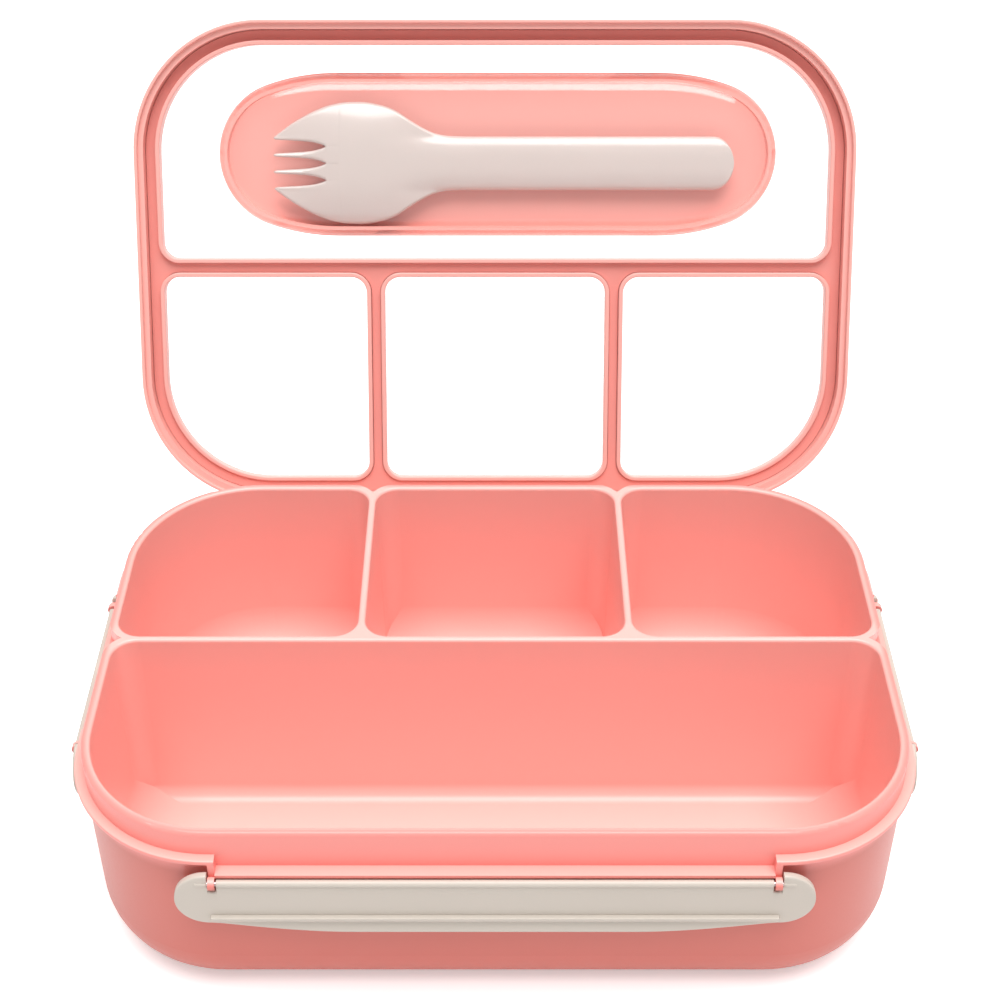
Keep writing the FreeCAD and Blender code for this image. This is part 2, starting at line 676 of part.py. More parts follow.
def make_lid_window():
    """The clear top: a flat panel on the frame with the cutlery pocket hanging from it."""
    body = new_body("lid_window")
    sketch = new_sketch(body, "PanelOutline", "XY_Plane", crown_z)
    ring_loop(sketch, "(rim_clearance + web_thick)")
    feature(body, "Pad", "Panel", sketch, "window_thick")

    sketch = new_sketch(body, "PocketOutline", "XY_Plane", window_z)
    pill_loop(sketch, "0")
    feature(body, "Pad", "PocketShell", sketch, "pocket_depth + window_thick", reverse=True)
    fillet(body, "PocketFoot", "pocket_round", lies_at(number(pocket_z)))

    hollow = new_body("PocketHollow")
    sketch = new_sketch(hollow, "PocketHollowOutline", "XY_Plane", window_z)
    pill_loop(sketch, "pocket_wall")
    feature(hollow, "Pad", "PocketSpace", sketch, "pocket_depth + window_thick - pocket_wall", reverse=True)
    fillet(hollow, "PocketFloor", "pocket_round - pocket_wall", lies_at(number(f"{pocket_z} + pocket_wall")))
    cut = body.newObject("PartDesign::Boolean", "Pocket")
    cut.Type = "Cut"
    cut.setObjects([hollow])
    doc.recompute()
    place_on_lid(body)
    return body


def make_cutlery_cover():
    """The cap over the pocket: a plate on the lid's top with a skirt down inside the pocket."""
    body = new_body("cutlery_cover")
    sketch = new_sketch(body, "CapOutline", "XY_Plane", window_z)
    pill_loop(sketch, "(-cover_overlap)")
    feature(body, "Pad", "Cap", sketch, "cover_thick")

    sketch = new_sketch(body, "SkirtOutline", "XY_Plane", window_z)
    pill_loop(sketch, "(pocket_wall + cover_clearance)")
    pill_loop(sketch, "(pocket_wall + cover_clearance + skirt_wall)")
    feature(body, "Pad", "Skirt", sketch, "skirt_length", reverse=True)

    sketch = new_sketch(body, "GripOutline", "XY_Plane", f"{window_z} + cover_thick")
    front = "pill_y - pill_depth / 2 + grip_inset"
    rounded_loop(sketch, "pill_x - grip_length / 2", "pill_x + grip_length / 2",
                 front, f"{front} + grip_width", ["grip_width / 2.01"] * 4)
    feature(body, "Pad", "Grip", sketch, "grip_height")
    place_on_lid(body)
    return body


# Half widths along the spork's bowl, as shares of the bowl's length and half width
bowl_profile = [(0.22, 0.75), (0.36, 0.91), (0.55, 1.0), (0.74, 0.93), (0.9, 0.76)]
bowl_rise = 0.6
tip_slope = 0.6
end_bow = math.sqrt(0.5)


def make_spork():
    """The spork: its plan outline cut from a blank whose side view dips at the bowl."""
    half_bowl = number("bowl_width / 2")
    half_handle = number("handle_width / 2")
    tip = number("-spork_length / 2")
    end = number("spork_length / 2")
    bowl = number("bowl_length")
    neck = tip + bowl + number("neck_length")
    thick = number("spork_thick")
    sink = number("bowl_sink")
    turn = number("handle_round")

    def at(x, y):
        return FreeCAD.Vector(x, y, 0)

    tip_corner = at(tip, number("tip_width / 2"))
    side_curve = Part.BSplineCurve()
    bowl_side = [at(tip + bowl * along, half_bowl * share) for along, share in bowl_profile]
    side_curve.interpolate([tip_corner, *bowl_side, at(neck, half_handle)],
                           InitialTangent=at(1, tip_slope), FinalTangent=at(1, 0))
    upper = [side_curve, Part.LineSegment(at(neck, half_handle), at(end - turn, half_handle)),
             Part.Arc(at(end - turn, half_handle),
                      at(end - turn * (1 - end_bow), half_handle * end_bow), at(end, 0))]
    edges = [curve.toShape() for curve in upper]
    lower = [edge.mirror(at(0, 0), at(0, 1)) for edge in edges]
    closing = Part.LineSegment(at(tip, -tip_corner.y), tip_corner).toShape()
    outline = Part.Wire(Part.__sortEdges__(edges + lower + [closing]))
    depth = sink + 2 * thick
    blank = Part.Face(outline).extrude(FreeCAD.Vector(0, 0, depth))

    def side(z):
        deepest = FreeCAD.Vector(tip + bowl / 2, 0, z)
        level = FreeCAD.Vector(neck, 0, z + sink)
        return [Part.Arc(FreeCAD.Vector(tip, 0, z + bowl_rise * sink), deepest, level).toShape(),
                Part.LineSegment(level, FreeCAD.Vector(end, 0, z + sink)).toShape()]

    low = bowl_rise * sink
    ends = [Part.LineSegment(FreeCAD.Vector(tip, 0, low), FreeCAD.Vector(tip, 0, low + thick)).toShape(),
            Part.LineSegment(FreeCAD.Vector(end, 0, sink), FreeCAD.Vector(end, 0, sink + thick)).toShape()]
    strip = Part.Face(Part.Wire(Part.__sortEdges__(side(0) + side(thick) + ends)))
    strip.translate(FreeCAD.Vector(0, -number("bowl_width"), 0))
    body = blank.common(strip.extrude(FreeCAD.Vector(0, number("2 * bowl_width"), 0)))
    mouth = number("tine_slot / 2")
    root = number("tine_root / 2")
    slot_end = tip + number("tine_length")
    for k in (-1, 0, 1):
        y = k * number("tine_pitch")
        corners = [at(tip, y - mouth), at(slot_end, y - root), at(slot_end, y + root),
                   at(tip, y + mouth), at(tip, y - mouth)]
        wedge = Part.Face(Part.makePolygon(corners)).extrude(FreeCAD.Vector(0, 0, depth))
        body = body.cut(wedge).cut(Part.makeCylinder(root, depth, at(slot_end, y)))
    spork = doc.addObject("Part::Feature", "spork")
    spork.Label = "spork"
    spork.Shape = body.removeSplitter()
    return spork


box_body = make_box()
latches = {side: make_latch(f"{side}_latch", span, length, bulge)
           for side, (yaw, x, y, span, length, bulge) in latch_sides.items()}
pin_pairs = []
for side, (yaw, x, y, span, length, bulge) in latch_sides.items():
    place(latches[side], x, y, pivot_z, yaw, "lid_open - 180" if side == "back" else "0")
    pin_pairs.append(make_pins(side, yaw, x, y, span))
spork = make_spork()
pieces = [box_body, *latches.values(), *pin_pairs, make_lid_frame(), make_lid_seal(), make_lid_window(),
          make_cutlery_cover(), spork]
doc.recompute()

# The spork lies in the pocket, on its floor
turn = FreeCAD.Rotation(FreeCAD.Vector(1, 0, 0), -number("lid_open"))
hinge = FreeCAD.Vector(0, number(pivot_y), number(pivot_z))
seat = FreeCAD.Vector(number("spork_x"), number("pill_y + spork_y"),
                      number(f"{pocket_z} + pocket_wall + spork_clearance"))
spork.Placement = FreeCAD.Placement(hinge + turn.multVec(seat - hinge), turn)

for item in doc.Objects:
    if "Invalid" in item.State or "Error" in item.State:
        raise RuntimeError(f"{item.Name} failed: {item.State}")
for piece in pieces:
    if piece.Shape.isNull() or not piece.Shape.isValid():
        raise RuntimeError(f"{piece.Label} has no valid shape")

os.makedirs("parts", exist_ok=True)
for piece in pieces:
    piece.Shape.exportStep(f"parts/{piece.Label}.step")
    print(f"{piece.Label}: {len(piece.Shape.Solids)} solid(s), {piece.Shape.Volume:.0f} mm3")
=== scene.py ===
import bpy
import math
import numpy as np
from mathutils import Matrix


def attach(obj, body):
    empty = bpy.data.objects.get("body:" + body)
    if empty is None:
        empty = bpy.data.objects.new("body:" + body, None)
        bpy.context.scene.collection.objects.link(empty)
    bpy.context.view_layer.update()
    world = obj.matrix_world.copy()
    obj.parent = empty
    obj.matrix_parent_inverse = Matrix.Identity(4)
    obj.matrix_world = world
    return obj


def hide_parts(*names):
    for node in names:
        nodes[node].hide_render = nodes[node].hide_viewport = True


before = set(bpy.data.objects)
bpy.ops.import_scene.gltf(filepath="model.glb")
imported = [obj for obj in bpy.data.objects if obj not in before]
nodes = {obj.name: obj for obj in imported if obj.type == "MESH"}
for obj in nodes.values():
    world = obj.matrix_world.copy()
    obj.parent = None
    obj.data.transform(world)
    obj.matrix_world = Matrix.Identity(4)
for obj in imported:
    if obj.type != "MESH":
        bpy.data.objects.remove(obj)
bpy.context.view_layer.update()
scene = bpy.context.scene
print("frame loaded:", len(nodes), "nodes")

lidTurn = {"angle": math.radians(115.8), "pivotY": 0.0721, "pivotZ": 0.0475}  # from closed to open


def openLid(points, sign=1.0):  # turns closed-lid points open about the hinge, or back with sign -1
    turn = -sign * lidTurn["angle"]
    y = points[:, 1] - lidTurn["pivotY"]
    z = points[:, 2] - lidTurn["pivotZ"]
    return np.stack([points[:, 0], lidTurn["pivotY"] + y * math.cos(turn) - z * math.sin(turn),
                     lidTurn["pivotZ"] + y * math.sin(turn) + z * math.cos(turn)], axis=1)


def closedPoints(name):  # a lid node's points, turned back to the closed lid
    node = nodes[name]
    flat = np.empty(len(node.data.vertices) * 3)
    node.data.vertices.foreach_get("co", flat)
    turn = np.array(node.matrix_world)
    return openLid(flat.reshape(-1, 3) @ turn[:3, :3].T + turn[:3, 3], -1.0)


def gridFaces(rows, columns):  # quads of a grid whose columns close on themselves
    k = np.arange(rows - 1)[:, None] * columns
    j = np.arange(columns)[None, :]
    n = (j + 1) % columns
    return np.stack([k + j, k + n, k + columns + n, k + columns + j], axis=-1).reshape(-1, 4)


def joinTubes(tubes, flip):  # points and faces of several tubes, each a grid of rings with a cap at both ends
    faces, start = [], 0
    for tube in tubes:
        rows, columns = tube.shape[:2]
        loops = (gridFaces(rows, columns) + start).tolist()
        loops.append(list(range(start + columns - 1, start - 1, -1)))
        loops.append(list(range(start + (rows - 1) * columns, start + rows * columns)))
        faces += [loop[::-1] for loop in loops] if flip else loops
        start += rows * columns
    return np.concatenate([tube.reshape(-1, 3) for tube in tubes]), faces


def addPiece(name, points, faces):
    mesh = bpy.data.meshes.new(name)
    mesh.from_pydata(points.tolist(), [], [tuple(face) for face in faces])
    mesh.polygons.foreach_set("use_smooth", np.ones(len(mesh.polygons), dtype=bool))
    mesh.update()
    piece = bpy.data.objects.new(name, mesh)
    scene.collection.objects.link(piece)
    return piece


def maths(tree, kind, first, second=0.0):  # one maths node; an entry is a number or another node's socket
    node = tree.nodes.new("ShaderNodeMath")
    node.operation = kind
    for socket, entry in zip(node.inputs, (first, second)):
        if isinstance(entry, float):
            socket.default_value = entry
        else:
            tree.links.new(entry, socket)
    return node.outputs["Value"]


def spread(tree, source, low, high):  # a socket's 0 to 1 stretched from low to high
    node = tree.nodes.new("ShaderNodeMapRange")
    node.inputs["To Min"].default_value = low
    node.inputs["To Max"].default_value = high
    tree.links.new(source, node.inputs["Value"])
    return node.outputs["Result"]


def fade(tree, source, low, high):  # 0 up to low, 1 from high on, smooth between
    node = tree.nodes.new("ShaderNodeMapRange")
    node.interpolation_type = "SMOOTHSTEP"
    node.inputs["From Min"].default_value = low
    node.inputs["From Max"].default_value = high
    tree.links.new(source, node.inputs["Value"])
    return node.outputs["Result"]


def blendTint(tree, share, first, second):  # first at share 0, second at 1; an entry is a colour or a socket
    node = tree.nodes.new("ShaderNodeMix")
    node.data_type = "RGBA"
    tree.links.new(share, node.inputs["Factor"])
    for socket, entry in (("A", first), ("B", second)):
        if isinstance(entry, tuple):
            node.inputs[socket].default_value = (*entry, 1.0)
        else:
            tree.links.new(entry, node.inputs[socket])
    return node.outputs["Result"]


def mouldedSkin(tree, look, cloudDetail=3.0):  # tint, roughness and normal, which all wander a little
    place = tree.nodes.new("ShaderNodeTexCoord")
    cloud = tree.nodes.new("ShaderNodeTexNoise")
    cloud.inputs["Scale"].default_value = look["cloudScale"]
    cloud.inputs["Detail"].default_value = cloudDetail
    grain = tree.nodes.new("ShaderNodeTexNoise")
    grain.inputs["Scale"].default_value = look["grainScale"]
    for noise in (cloud, grain):
        tree.links.new(place.outputs["Object"], noise.inputs["Vector"])
    tint = blendTint(tree, cloud.outputs["Fac"], look["color"], look["drift"])
    low, high = look["rough"] - look["roughSpread"], look["rough"] + look["roughSpread"]
    rough = spread(tree, grain.outputs["Fac"], low, high)
    bump = tree.nodes.new("ShaderNodeBump")
    bump.inputs["Strength"].default_value = look["bump"]
    bump.inputs["Distance"].default_value = 0.0002  # depth of the mould's grain
    tree.links.new(grain.outputs["Fac"], bump.inputs["Height"])
    return tint, rough, bump.outputs["Normal"]


def plastic(name, look):
    material = bpy.data.materials.new(name)
    material.use_nodes = True
    tree = material.node_tree
    shader = tree.nodes["Principled BSDF"]
    for socket, value in look["shader"].items():
        shader.inputs[socket].default_value = value
    for source, socket in zip(mouldedSkin(tree, look), ("Base Color", "Roughness", "Normal")):
        tree.links.new(source, shader.inputs[socket])
    return material


def clearPlastic(name):  # a thin clear wall: seen straight through, glossier where it turns away
    look = {"color": (1.0, 1.0, 1.0), "drift": (0.985, 0.99, 0.99), "cloudScale": 25.0, "grainScale": 300.0,
            "rough": 0.05, "roughSpread": 0.02, "bump": 0.02, "faceGloss": 0.035, "edgeGloss": 0.7,
            "power": 5.0}
    material = bpy.data.materials.new(name)
    material.use_nodes = True
    tree = material.node_tree
    tree.nodes.clear()
    tint, rough, normal = mouldedSkin(tree, look, 2.0)
    through = tree.nodes.new("ShaderNodeBsdfTransparent")
    tree.links.new(tint, through.inputs["Color"])
    gloss = tree.nodes.new("ShaderNodeBsdfGlossy")
    gloss.inputs["Color"].default_value = (1.0, 1.0, 1.0, 1.0)
    tree.links.new(rough, gloss.inputs["Roughness"])
    tree.links.new(normal, gloss.inputs["Normal"])
    away = tree.nodes.new("ShaderNodeLayerWeight").outputs["Facing"]
    share = spread(tree, maths(tree, "POWER", away, look["power"]), look["faceGloss"], look["edgeGloss"])
    blend = tree.nodes.new("ShaderNodeMixShader")
    for socket, source in zip(blend.inputs, (share, through.outputs["BSDF"], gloss.outputs["BSDF"])):
        tree.links.new(source, socket)
    output = tree.nodes.new("ShaderNodeOutputMaterial")
    tree.links.new(blend.outputs["Shader"], output.inputs["Surface"])
    return material


softSkin = {"Coat Weight": 0.08, "Coat Roughness": 0.25}
looks = {
    "box_pink": {"color": (0.63, 0.147, 0.113), "drift": (0.655, 0.165, 0.13), "cloudScale": 18.0,
                 "grainScale": 1400.0, "rough": 0.34, "roughSpread": 0.05, "bump": 0.06, "shader": softSkin},
    "lid_pink": {"color": (0.89, 0.425, 0.375), "drift": (0.90, 0.445, 0.395), "cloudScale": 22.0,
                 "grainScale": 1500.0, "rough": 0.36, "roughSpread": 0.05, "bump": 0.05, "shader": softSkin},
    "cover_pink": {"color": (0.93, 0.40, 0.345), "drift": (0.94, 0.415, 0.36), "cloudScale": 22.0,
                   "grainScale": 1500.0, "rough": 0.36, "roughSpread": 0.05, "bump": 0.05,
                   "shader": softSkin},
    "seal_pink": {"color": (0.80, 0.29, 0.25), "drift": (0.83, 0.31, 0.27), "cloudScale": 60.0,
                  "grainScale": 2200.0, "rough": 0.55, "roughSpread": 0.08, "bump": 0.1, "shader": softSkin},
    "latch_beige": {"color": (0.575, 0.515, 0.45), "drift": (0.6, 0.54, 0.475), "cloudScale": 30.0,
                    "grainScale": 1600.0, "rough": 0.42, "roughSpread": 0.06, "bump": 0.07, "shader": {}},
    "pin_steel": {"color": (0.55, 0.55, 0.56), "drift": (0.62, 0.62, 0.63), "cloudScale": 300.0,
                  "grainScale": 4000.0, "rough": 0.28, "roughSpread": 0.08, "bump": 0.05,
                  "shader": {"Metallic": 1.0}},
    "spork_ivory": {"color": (0.625, 0.54, 0.50), "drift": (0.65, 0.56, 0.52), "cloudScale": 40.0,
                    "grainScale": 1800.0, "rough": 0.24, "roughSpread": 0.04, "bump": 0.04,
                    "shader": {"Coat Weight": 0.7, "Coat Roughness": 0.14}},
}
materials = {name: plastic(name, look) for name, look in looks.items()}
materials["lid_clear"] = clearPlastic("lid_clear")
slots = {"box_body": "box_pink", "lid_frame": "lid_pink", "lid_seal": "seal_pink", "lid_window": "lid_clear",
         "cutlery_cover": "cover_pink", "spork": "spork_ivory"}
for name, node in nodes.items():
    slot = slots.get(name) or ("pin_steel" if name.endswith("pins") else "latch_beige")
    node.data.materials.clear()
    node.data.materials.append(materials[slot])
nodes["cutlery_cover"].visible_shadow = False  # light reaches into the pocket
nodes["lid_window"].visible_shadow = False


def paintLightInside(material):  # painted light: the rim, the flange's top and the compartments get paler tints than the tub's outside, standing in for the light they catch
    inside = {"paintedLitHollow": (0.995, 0.505, 0.455), "rim": (0.93, 0.30, 0.265), "paintedLitLedge": (0.98, 0.46, 0.41),
              "flatX": 0.068, "flatY": 0.0332, "corner": 0.035, "edgeFade": (0.0006, 0.0022),
              "overhangFade": (-0.3, -0.2), "upwardFade": (0.4, 0.9), "collarFade": (0.046, 0.050),
              "ledgeFade": (0.0543, 0.0562)}
    tree = material.node_tree
    shader = tree.nodes["Principled BSDF"]
    place = tree.nodes.new("ShaderNodeSeparateXYZ")
    tree.links.new(tree.nodes.new("ShaderNodeTexCoord").outputs["Object"], place.inputs["Vector"])
    facing = tree.nodes.new("ShaderNodeSeparateXYZ")
    tree.links.new(tree.nodes.new("ShaderNodeNewGeometry").outputs["Normal"], facing.inputs["Vector"])
    height, upward = place.outputs["Z"], facing.outputs["Z"]
    squares = []  # depth inside the rim's outline, a rounded rectangle: corner - |max(|p| - flat, 0)|
    for axis in ("X", "Y"):
        past = maths(tree, "SUBTRACT", maths(tree, "ABSOLUTE", place.outputs[axis]), inside["flat" + axis])
        over = maths(tree, "MAXIMUM", past, 0.0)
        squares.append(maths(tree, "MULTIPLY", over, over))
    depth = maths(tree, "SUBTRACT", inside["corner"], maths(tree, "SQRT", maths(tree, "ADD", *squares)))
    within, level = fade(tree, depth, *inside["edgeFade"]), fade(tree, upward, *inside["overhangFade"])
    # painted light: the compartments' insides, within the rim's outline and not overhanging, are tinted paler
    # as if more brightly lit
    hollow = maths(tree, "MULTIPLY", within, level)
    # painted light: the tub's top band, from the collar up, gets the brighter rim tint
    collar = fade(tree, height, *inside["collarFade"])
    below = maths(tree, "SUBTRACT", 1.0, fade(tree, height, *inside["ledgeFade"]))
    band = maths(tree, "MULTIPLY", collar, below)
    # painted highlight: upward faces in the band below the ledge height are tinted paler, as if lit from
    # above
    paintedLitLedge = maths(tree, "MULTIPLY", band, fade(tree, upward, *inside["upwardFade"]))
    tint = shader.inputs["Base Color"].links[0].from_socket
    for share, part in ((collar, "rim"), (paintedLitLedge, "paintedLitLedge"), (hollow, "paintedLitHollow")):
        tint = blendTint(tree, share, tint, inside[part])
    tree.links.new(tint, shader.inputs["Base Color"])


paintLightInside(materials["box_pink"])
print("materials:", len(materials))


def addSpork():
    sizes = {"tines": 4, "tineLength": 0.0155, "pitch": 0.0049, "mouth": 0.0040, "slotTaper": 0.4,
             "tipRound": 0.0012, "tineHalf": 0.00045, "bluntTip": 0.02, "overlap": 0.001, "closing": 0.03,
             "blend": 0.005, "rootThin": 0.1, "rootSink": 0.15, "thick": 0.0019, "bowlAt": 0.024,
             "bowlRun": 0.02, "dish": 0.0029, "sink": 0.0030, "sinkRun": 0.0195, "crown": 0.0015,
             "crownHalf": 0.0078, "endRun": 0.0062, "drawnHalf": 0.0179, "clear": 0.0001, "smoothing": 41}
    closed = closedPoints("spork")
    low, high = closed.min(axis=0), closed.max(axis=0)
    length = high[0] - low[0]
    middleY = (low[1] + high[1]) / 2
    bowlHalf = (high[1] - low[1]) / 2 - sizes["clear"]
    # the plan's stations in millimetres: distance from the tips, half width; a moving mean rounds them off
    stations = np.array([[0.0, 7.7], [6.0, 12.0], [11.7, 15.1], [16.0, 16.8], [20.0, 17.7], [24.5, 17.95],
                         [28.0, 17.8], [33.0, 16.7], [36.0, 15.5], [41.0, 12.2], [44.0, 10.4], [47.5, 8.75],
                         [51.0, 8.05], [56.0, 7.85]]) / 1000.0
    fineX = np.linspace(0.0, length, 2001)
    plan = np.interp(fineX, stations[:, 0], stations[:, 1] * bowlHalf / sizes["drawnHalf"])
    window = np.ones(sizes["smoothing"]) / sizes["smoothing"]
    plan = np.convolve(np.pad(plan, sizes["smoothing"] // 2, mode="edge"), window, mode="valid")
    into = np.clip((fineX - (length - sizes["endRun"])) / sizes["endRun"], 0.0, 1.0)
    plan = plan * np.sqrt(np.clip(1.0 - into ** 2, 0.0, 1.0))  # the handle's end closes as half an ellipse

    def half(x):
        return np.interp(x, fineX, plan)

    def sheet(x, y):  # middle sheet: the bowl sinks along x and rises with |y|^3, the handle is crowned
        sink = sizes["sink"] * np.exp(-((x - sizes["bowlAt"]) / sizes["sinkRun"]) ** 2)
        bowl = np.exp(-((x - sizes["bowlAt"]) / sizes["bowlRun"]) ** 4)
        rise = sizes["dish"] * bowl * np.clip(np.abs(y) / bowlHalf, 0.0, 1.0) ** 3
        across = np.clip(np.abs(y) / sizes["crownHalf"], 0.0, 1.0)
        rise = rise + sizes["crown"] * (1.0 - bowl) * (across ** 3 - 1.0)
        return high[2] - sizes["thick"] / 2 - sink + rise

    def tube(x, left, right, count, swell):  # between two plan edges; its section is a slab with round edges
        side = count // 4
        run = np.linspace(-0.5, 0.5, side, endpoint=False)
        upright = np.full(side, math.pi / 2)
        turn = np.concatenate([run * math.pi, upright, (run + 1.0) * math.pi, -upright])
        flat = np.concatenate([np.ones(side), -2 * run, -np.ones(side), 2 * run])
        centre, reach = (left + right)[:, None] / 2, (right - left)[:, None] / 2
        edge = np.minimum(sizes["thick"] / 2, reach)
        y = centre + (reach - edge) * flat + edge * np.cos(turn)
        x = np.broadcast_to(x[:, None], y.shape)
        z = sheet(x, y) + edge * swell[:, None] * np.sin(turn)
        return np.stack([x + low[0], y + middleY, z], axis=-1)

    slotEnd = sizes["tineLength"]
    body = slotEnd + (length - slotEnd) * (1.0 - np.cos(np.linspace(0.0, math.pi, 240))) / 2
    grow = np.clip((body - slotEnd) / sizes["blend"], 0.0, 1.0)
    swell = sizes["rootThin"] + (1.0 - sizes["rootThin"]) * grow * (2.0 - grow)
    tubes = [tube(body, -half(body), half(body), 96, swell)]
    x = (slotEnd + sizes["blend"]) * np.linspace(0.0, 1.0, 60)
    taper = x / slotEnd
    closing = sizes["overlap"] * np.clip((taper - 1.0) / sizes["closing"], 0.0, 1.0)
    narrowing = 1.0 - sizes["slotTaper"] * taper - (1.0 - sizes["slotTaper"]) * taper ** 6
    slot = np.maximum(sizes["mouth"] / 2 * narrowing - closing, -sizes["overlap"])
    tip = np.sqrt(np.clip(1.0 - (1.0 - np.clip(x / sizes["tipRound"], 0.0, 1.0)) ** 2, 0.0, 1.0))
    sunk = 1.0 - sizes["rootSink"] * np.clip(taper - 1.0, 0.0, 1.0)  # the tines' roots dip into the bowl
    last = sizes["tines"] - 1
    for k in range(sizes["tines"]):
        left = -half(x) if k == 0 else (k - sizes["tines"] / 2) * sizes["pitch"] + slot
        right = half(x) if k == last else (k + 1 - sizes["tines"] / 2) * sizes["pitch"] - slot
        centre = (left + right) / 2
        reach = np.maximum((right - left) / 2, sizes["tineHalf"]) * np.maximum(tip, sizes["bluntTip"])
        tubes.append(tube(x, centre - reach, centre + reach, 32, sunk))
    points, faces = joinTubes(tubes, False)
    points[:, 2] = np.clip(points[:, 2], low[2], high[2])
    piece = addPiece("sporkMoulded", openLid(points), faces)
    piece.data.materials.append(materials["spork_ivory"])
    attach(piece, "spork")
    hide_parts("spork")


addSpork()
print("spork made")


def addWindow():
    sizes = {"corner": 0.0365, "plate": 0.0016, "wall": 0.0012, "round": 0.006, "flat": 0.0477,
             "shoulder": 0.062, "edge": 0.0003, "reach": 0.3, "halvings": 50, "weld": 0.00001}
    closed = closedPoints("lid_window")
    low, high = closed.min(axis=0), closed.max(axis=0)
    pocket = closed[closed[:, 2] < high[2] - 2.5 * sizes["plate"]]  # what hangs well below the plate
    centre = (pocket.min(axis=0) + pocket.max(axis=0))[:2] / 2
    halfX, halfY = (pocket.max(axis=0) - pocket.min(axis=0))[:2] / 2
    shoulder, flat = sizes["shoulder"], sizes["flat"]
    tail = halfX - flat  # the end arc's radius makes it tangent to the shoulders
    endArc = (shoulder ** 2 - (shoulder - halfY) ** 2 - tail ** 2) / (2 * (shoulder - tail))
    lean = math.atan2(shoulder - halfY, tail - endArc)
    # a quarter of the oval: end arc, shoulder arc, straight side; a point is centre + radius * normal
    turn = np.concatenate([np.linspace(0.0, lean, 60, endpoint=False), np.linspace(lean, math.pi / 2, 60)])
    normal = np.stack([np.cos(turn), np.sin(turn)], axis=1)
    atEnd = (turn < lean)[:, None]
    side = np.where(atEnd, [[halfX - endArc, 0.0]], [[flat, halfY - shoulder]])
    side = side + np.where(atEnd, endArc, shoulder) * normal
    straight = np.linspace(flat, 0.0, 20)[1:]
    side = np.concatenate([side, np.stack([straight, np.full_like(straight, halfY)], axis=1)])
    normal = np.concatenate([normal, np.tile([0.0, 1.0], (len(straight), 1))])
    flips = [((1, 1), False), ((-1, 1), True), ((-1, -1), False), ((1, -1), True)]  # mirrored to quarters
    oval = np.concatenate([(side * sign)[::-1][1:-1] if back else side * sign for sign, back in flips])
    outward = np.concatenate([(normal * sign)[::-1][1:-1] if back else normal * sign for sign, back in flips])
    count = len(oval)

    def ring(inset, z):
        return np.concatenate([oval - outward * inset + centre, np.full((count, 1), z)], axis=1)

    # the plate's edge on rays from the pocket's middle: bisection on a rounded rectangle's distance
    ray = oval / np.linalg.norm(oval, axis=1, keepdims=True)
    near, far = np.zeros(count), np.full(count, sizes["reach"])
    for halving in range(sizes["halvings"]):
        middle = (near + far) / 2
        spot = np.abs(centre + ray * middle[:, None]) - (high[:2] - sizes["corner"])
        distance = np.linalg.norm(np.maximum(spot, 0.0), axis=1) + np.minimum(spot.max(axis=1), 0.0)
        over = distance > sizes["corner"]
        near, far = np.where(over, near, middle), np.where(over, middle, far)

    def plateRing(z, inset):
        return np.concatenate([centre + ray * (near - inset)[:, None], np.full((count, 1), z)], axis=1)

    def dish(inset, floor, rounding, top):  # wall, quarter round and a flat floor that closes on its middle
        rings = [ring(inset, top)]
        for bend in np.linspace(0.0, math.pi / 2, 14):
            inward, up = rounding * (1 - math.cos(bend)), rounding * (1 - math.sin(bend))
            rings.append(ring(inset + inward, floor + up))
        last = rings[-1]
        spine = last.copy()
        spine[:, 0] = centre[0] + np.clip(last[:, 0] - centre[0], -flat, flat)
        spine[:, 1] = centre[1]
        return rings + [last * (1 - share) + spine * share for share in (0.5, 1.0)]

    top, under = high[2], high[2] - sizes["plate"]
    edge, wall = sizes["edge"], sizes["wall"]
    outside = [plateRing(top, edge), plateRing(top - edge, 0.0), plateRing(under + edge, 0.0)]
    outside += [plateRing(under, edge)] + dish(0.0, low[2], sizes["round"], under)
    inside = [plateRing(top, edge)] + dish(wall, low[2] + wall, sizes["round"] - wall, top)
    points = np.concatenate(outside + inside)
    faces = gridFaces(len(outside), count).tolist()
    faces += (gridFaces(len(inside), count)[:, ::-1] + len(outside) * count).tolist()
    piece = addPiece("windowMoulded", openLid(points), faces)
    weld = piece.modifiers.new("weld", "WELD")
    weld.merge_threshold = sizes["weld"]
    piece.data.materials.append(materials["lid_clear"])
    piece.visible_shadow = False
    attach(piece, "lid")
    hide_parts("lid_window")


addWindow()
print("window made")


